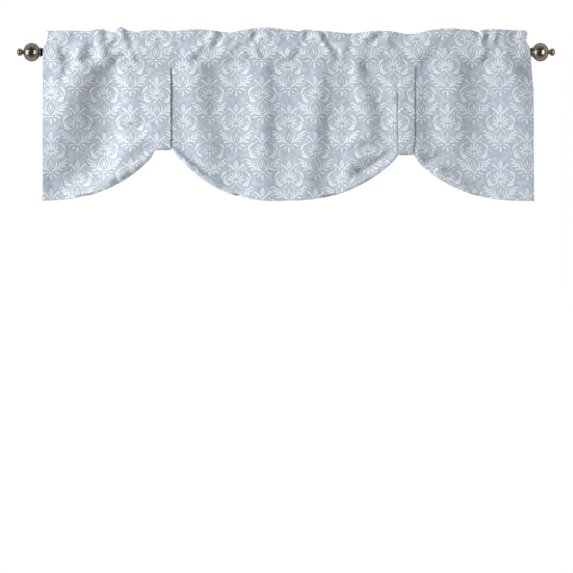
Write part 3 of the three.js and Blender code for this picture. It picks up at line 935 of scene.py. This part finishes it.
def strap_line(tie):
    """The strap's middle in its depth and height: down the front, round the hem, and up to the seam."""
    front = -STRAP_OFF
    back = front + STRAP["depth"]
    corner = tie["bottom"] + STRAP["thickness"] / 2 + STRAP["corner"]
    shoulder = corner + fold_for(tie_rise(tie))[1] + FOLD["climb"] + 2 * FOLD["back_turn"]
    share = np.arange(STRAP_ROWS["front"]) / STRAP_ROWS["front"]
    z = STRAP_TOP + share * (corner - STRAP_TOP)
    down = np.stack([front - seam_forward(z), z], axis=1)
    turns = []
    for centre, start in ((front + STRAP["corner"], 180), (back - STRAP["corner"], 270)):
        angle = np.radians(start + 90 * np.arange(STRAP_ROWS["corner"] + 1) / STRAP_ROWS["corner"])
        turns.append(np.stack([centre + STRAP["corner"] * np.cos(angle),
                               corner + STRAP["corner"] * np.sin(angle)], axis=1))
    end = STRAP_OFF_BACK - SEAM_FORWARD
    z = corner + evenly(STRAP_ROWS["up"]) * (shoulder - corner)
    up = np.stack([np.full_like(z, back), z], axis=1)
    step = evenly(STRAP_ROWS["inward"])
    share = (ease(step) + step) / 2
    inward = np.stack([back + share * (end - back), shoulder + share * (STRAP_TOP - shoulder)], axis=1)
    return np.concatenate([down, *turns, up, inward])


def make_strap(tie, lifted_left, lifted_right):
    """A strap whose front edges stand off the cloth by these millimetres, or lie closer if negative."""
    line = strap_line(tie)
    steps = np.linalg.norm(np.diff(line, axis=0), axis=1)
    run = np.concatenate([[0], np.cumsum(steps)])
    points, flat = [], []
    for side in np.sin(np.linspace(math.pi / 2, -math.pi / 2, STRAP_COLUMNS)):
        z = line[:, 1]
        width = STRAP["width"] / 2 - pinched(tie, int(side >= 0), z)
        x = tie["x"] + side * width + 0.6 * noise2(z, tie["x"], 45, 9, 41)
        on_front = (run < run[-1] * 0.52) & (line[:, 0] < 4)
        free = ease((STRAP_TOP - z) / 30) * ease((z - tie["bottom"] - 6) / 26) * on_front
        lift_edge = lifted_left * clamp(-side) ** 3 + lifted_right * clamp(side) ** 5
        slack = 0.5 * (1 + noise2(z, x, 40, 60, 43)) * (1 - abs(side) ** 4)
        y = line[:, 0] - free * (lift_edge + slack)
        points.append(np.stack([x, y, z], axis=1))
        flat.append(np.stack([x, POCKET_BOTTOM - run], axis=1))
    strap = shell(tie["name"] + "_strap", np.array(points), np.array(flat), THICKNESS, [right_side] * 2)
    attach(strap, "root")
    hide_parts(tie["name"])


def make_rod():
    bore = ROD_RADIUS - ROD_WALL
    profile = [(bore, -ROD_HALF), (ROD_RADIUS, -ROD_HALF), (ROD_RADIUS, -300), (ROD_RADIUS, 300),
               (ROD_RADIUS, ROD_HALF), (bore, ROD_HALF), (bore, -ROD_HALF)]
    rod = lathe("rod_tube", profile, 1, metal, segments=48)
    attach(rod, "root")
    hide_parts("rod")


# The finial along the rod: a socket over the rod's end, a bead, a ball, a neck and a button.
SOCKET = dict(mouth=659.5, clearance=0.3)
BEAD = dict(radius=12.9, length=2.6, edge=0.5)
COLLAR = 11.9
BALL = dict(centre=684, radius=25, half=22.8, from_radius=12.2, to_radius=7.4, steps=44)
NECK = [(6.2, 706.4), (5.7, 707.0), (5.7, 708.2), (6.2, 708.8)]
BUTTON = dict(centre=716, radius=10.3, half=8.0, from_radius=7.0, to_radius=0.02, steps=22)


def spheroid(centre, radius, half, from_radius, to_radius, steps):
    """The profile of a ball of this radius and half its length, from one radius to another."""
    start = -math.pi / 2 + math.asin(from_radius / radius)
    end = math.pi / 2 - math.asin(to_radius / radius)
    angles = np.linspace(start, end, steps + 1)
    return [(radius * math.cos(a), centre + half * math.sin(a)) for a in angles]


def make_finial(name, side):
    mouth, floor = SOCKET["mouth"], ROD_HALF + SOCKET["clearance"]
    cup = ROD_RADIUS + SOCKET["clearance"]
    edge = BEAD["edge"]
    rim, bead_end = BEAD["radius"] - edge, mouth + BEAD["length"]
    quarter = np.linspace(0, math.pi / 2, 4)
    profile = [(0, floor), (cup, floor), (cup, mouth)]
    profile += [(rim + edge * math.sin(a), mouth + edge - edge * math.cos(a)) for a in quarter]
    profile += [(rim + edge * math.cos(a), bead_end - edge + edge * math.sin(a)) for a in quarter]
    profile += [(COLLAR, bead_end + edge), *spheroid(**BALL), *NECK, *spheroid(**BUTTON)[:-1]]
    profile += [(0, BUTTON["centre"] + BUTTON["half"])]
    finial = lathe(name + "_cast", profile, side, metal, segments=72)
    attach(finial, "root")
    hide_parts(name)


make_rod()
make_finial("finial_left", -1)
make_finial("finial_right", 1)
make_valance()
make_strap(TIES[0], -0.9, 1.2)
make_strap(TIES[1], -0.6, -0.3)

# ---- Floor, light and camera ----


def make_floor():
    radius, z, sides = 5.0, -2.1, 96
    turns = [2 * math.pi * k / sides for k in range(sides)]
    floor = new_object("floor", [(radius * math.cos(t), radius * math.sin(t), z) for t in turns],
                       [tuple(range(sides))], [], smooth=False)
    tree = Tree("pale_floor")
    tree.surface("Base Color", linear(232, 232, 230))
    tree.surface("Roughness", 0.8)
    floor.data.materials.append(tree.material)
    floor.visible_glossy = False


def make_world():
    """White where the camera sees it, a soft pale light, and a darker front and back for the metal."""
    world = bpy.data.worlds.new("studio")
    bpy.context.scene.world = world
    world.use_nodes = True
    nodes, links = world.node_tree.nodes, world.node_tree.links
    nodes.clear()
    output = nodes.new("ShaderNodeOutputWorld")
    seen, light, glossy = (nodes.new("ShaderNodeBackground") for _ in range(3))
    for node, colour in ((seen, (1, 1, 1, 1)), (light, (0.97, 0.985, 1, 1)), (glossy, (1, 0.985, 0.96, 1))):
        node.inputs["Color"].default_value = colour
    light.inputs["Strength"].default_value = 0.247
    where, parts = nodes.new("ShaderNodeTexCoord"), nodes.new("ShaderNodeSeparateXYZ")
    links.new(where.outputs["Generated"], parts.inputs[0])
    shade = nodes.new("ShaderNodeMapRange")
    behind, both = nodes.new("ShaderNodeMapRange"), nodes.new("ShaderNodeMath")
    both.operation = "MULTIPLY"
    for node, values in ((shade, (-0.75, 0.2, 0.08, 0.62)), (behind, (0.3, 0.85, 1.0, 0.4))):
        for socket, value in zip(list(node.inputs)[1:5], values):
            socket.default_value = value
        links.new(parts.outputs[1], node.inputs[0])
    links.new(shade.outputs[0], both.inputs[0])
    links.new(behind.outputs[0], both.inputs[1])
    links.new(both.outputs[0], glossy.inputs["Strength"])
    path = nodes.new("ShaderNodeLightPath")
    by_ray, mix = nodes.new("ShaderNodeMixShader"), nodes.new("ShaderNodeMixShader")
    links.new(path.outputs["Is Glossy Ray"], by_ray.inputs[0])
    links.new(light.outputs[0], by_ray.inputs[1])
    links.new(glossy.outputs[0], by_ray.inputs[2])
    links.new(path.outputs["Is Camera Ray"], mix.inputs[0])
    links.new(by_ray.outputs[0], mix.inputs[1])
    links.new(seen.outputs[0], mix.inputs[2])
    links.new(mix.outputs[0], output.inputs["Surface"])


# Area lights in metres and watts. Those for the metal are only mirrored in it.
LIGHTS = [
    dict(name="key", place=(-6.0, -3.3, 2.4), aim=(0, 0, -0.2), size=(1.6, 1.6), power=725, for_metal=False),
    dict(name="fill", place=(2.6, -5.2, 0.9), aim=(0.2, 0, -0.1), size=(1.6, 2.2), power=42, for_metal=False),
    dict(name="behind", place=(2.0, 5.5, 1.2), aim=(0, 0, -0.2), size=(2.5, 2.5), power=170, for_metal=False),
    dict(name="window", place=(3.9, -4.0, -0.2), aim=(0, 0, 0), size=(3.1, 4.6), power=112, for_metal=True),
    dict(name="lamp", place=(-4.4, -4.6, 1.3), aim=(0, 0, 0), size=(0.9, 0.9), power=9, for_metal=True),
    dict(name="wall", place=(-4.0, -1.3, -0.1), aim=(-0.7, 0, 0), size=(2.4, 2.8), power=42, for_metal=True),
]


def area_light(row):
    data = bpy.data.lights.new(row["name"], "AREA")
    data.energy = row["power"]
    data.shape = "RECTANGLE"
    data.size, data.size_y = row["size"]
    obj = bpy.data.objects.new(row["name"], data)
    bpy.context.scene.collection.objects.link(obj)
    obj.location = row["place"]
    obj.rotation_euler = (Vector(row["aim"]) - Vector(row["place"])).to_track_quat("-Z", "Y").to_euler()
    obj.visible_glossy = row["for_metal"]
    obj.visible_diffuse = not row["for_metal"]


def make_camera():
    data = bpy.data.cameras.new("camera")
    # Far off and level, with a picture this wide in metres at the rod.
    distance, wide = 12.0, 1.5414
    data.sensor_width = 36.0
    data.lens = data.sensor_width * distance / wide
    data.clip_end = 100
    obj = bpy.data.objects.new("camera", data)
    bpy.context.scene.collection.objects.link(obj)
    obj.location = (0.0013, -distance, -0.6303)
    obj.rotation_euler = (math.pi / 2, 0, 0)
    bpy.context.scene.camera = obj


make_floor()
make_world()
for light_row in LIGHTS:
    area_light(light_row)
make_camera()
bpy.context.scene.view_settings.view_transform = "Standard"
